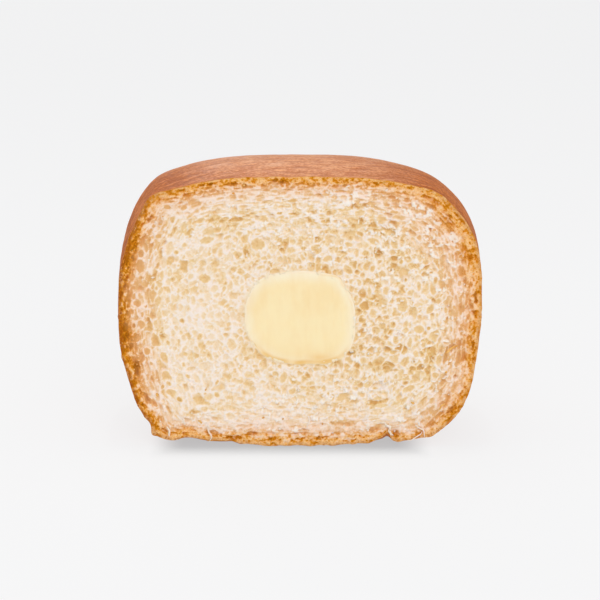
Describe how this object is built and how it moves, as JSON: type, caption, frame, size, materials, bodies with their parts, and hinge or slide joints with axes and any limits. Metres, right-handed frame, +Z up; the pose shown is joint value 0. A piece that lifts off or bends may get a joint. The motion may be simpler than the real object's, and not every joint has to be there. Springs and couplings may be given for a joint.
{
  "type": "cheese bread",
  "caption": "Half of a small soft-crusted bread, cut straight across to show open crumb round a smooth block of cheese filling; lies on its flat base.",
  "frame": {"origin": "centre of the bounding box at the flat base", "axes": "+X to the right across the cut face, as seen from in front of it; the cut face looks along -Y and the round back along +Y; +Z up out of the base"},
  "size_m": [0.0964, 0.0564, 0.0741],
  "materials": {
    "crust": "baked bread crust, brown skin with a soft sheen; the open crumb behind it is pale cream",
    "crumb": "soft open crumb, matt, pale cream, with pores of 0.5 to 4 mm",
    "cheese": "soft processed cheese, pale yellow, smooth and slightly moist"
  },
  "bodies": {
    "root": {"bread": "crust", "cheese_filling": "cheese"}
  },
  "joints": []
}
